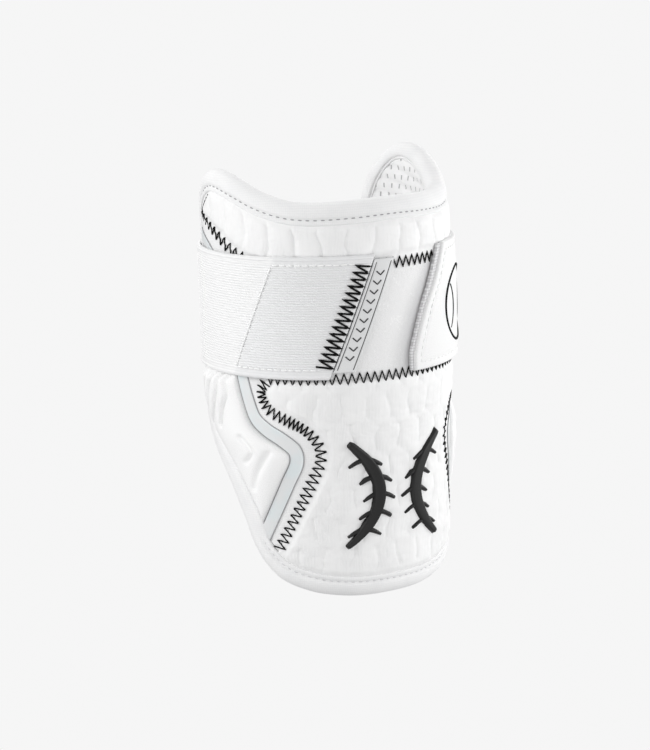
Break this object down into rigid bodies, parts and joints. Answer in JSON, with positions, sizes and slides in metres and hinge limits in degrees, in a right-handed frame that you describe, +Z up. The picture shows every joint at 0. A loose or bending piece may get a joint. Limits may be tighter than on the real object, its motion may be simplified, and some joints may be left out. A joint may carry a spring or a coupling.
{
  "type": "baseball elbow guard",
  "caption": "Padded shell bent round the outside of the elbow, with a puffy bound edge, ribbed side wings and a wide elastic strap that closes with a hook tab.",
  "frame": {"origin": "on the axis of the arm inside the guard, at the middle of the strap's width", "axes": "+Z up the arm, -Y out of the middle of the padded front, +X to the right of someone who faces the front"},
  "size_m": [0.1195, 0.1033, 0.1898],
  "materials": {
    "foam_cloth": "smooth white knit over foam",
    "liner_cloth": "white perforated channelled lining",
    "binding_cloth": "smooth white stretch cloth over a foam roll",
    "panel_cloth": "white cloth pressed into a pattern of scale-like cells",
    "loop_cloth": "fine white loop pile",
    "wing_foam": "white moulded foam skin, satin",
    "silver_trim": "pale silver film, slightly iridescent",
    "elastic": "ribbed white elastic webbing",
    "tab_cloth": "smooth white microfibre",
    "hook_tape": "fine moulded hooks, pale grey",
    "label_rubber": "silver grey moulded rubber, satin",
    "emblem_rubber": "black moulded rubber, satin, bevelled",
    "black_thread": "twisted black sewing thread, raised zigzag stitches and the ring on the tab",
    "plain_thread": "white and grey sewing thread, small running stitches"
  },
  "bodies": {
    "root": {"foam_pad": "foam_cloth", "liner": "liner_cloth", "edge_binding": "binding_cloth", "upper_panel": "panel_cloth", "lower_panel": "panel_cloth", "loop_panel": "loop_cloth", "wing_left": "wing_foam", "wing_right": "wing_foam", "trim_left": "silver_trim", "trim_right": "silver_trim", "strap": "elastic", "strap_tab": "tab_cloth", "hook_patch": "hook_tape", "strap_label": "label_rubber", "emblem_seam_left": "emblem_rubber", "emblem_seam_right": "emblem_rubber"}
  },
  "joints": []
}
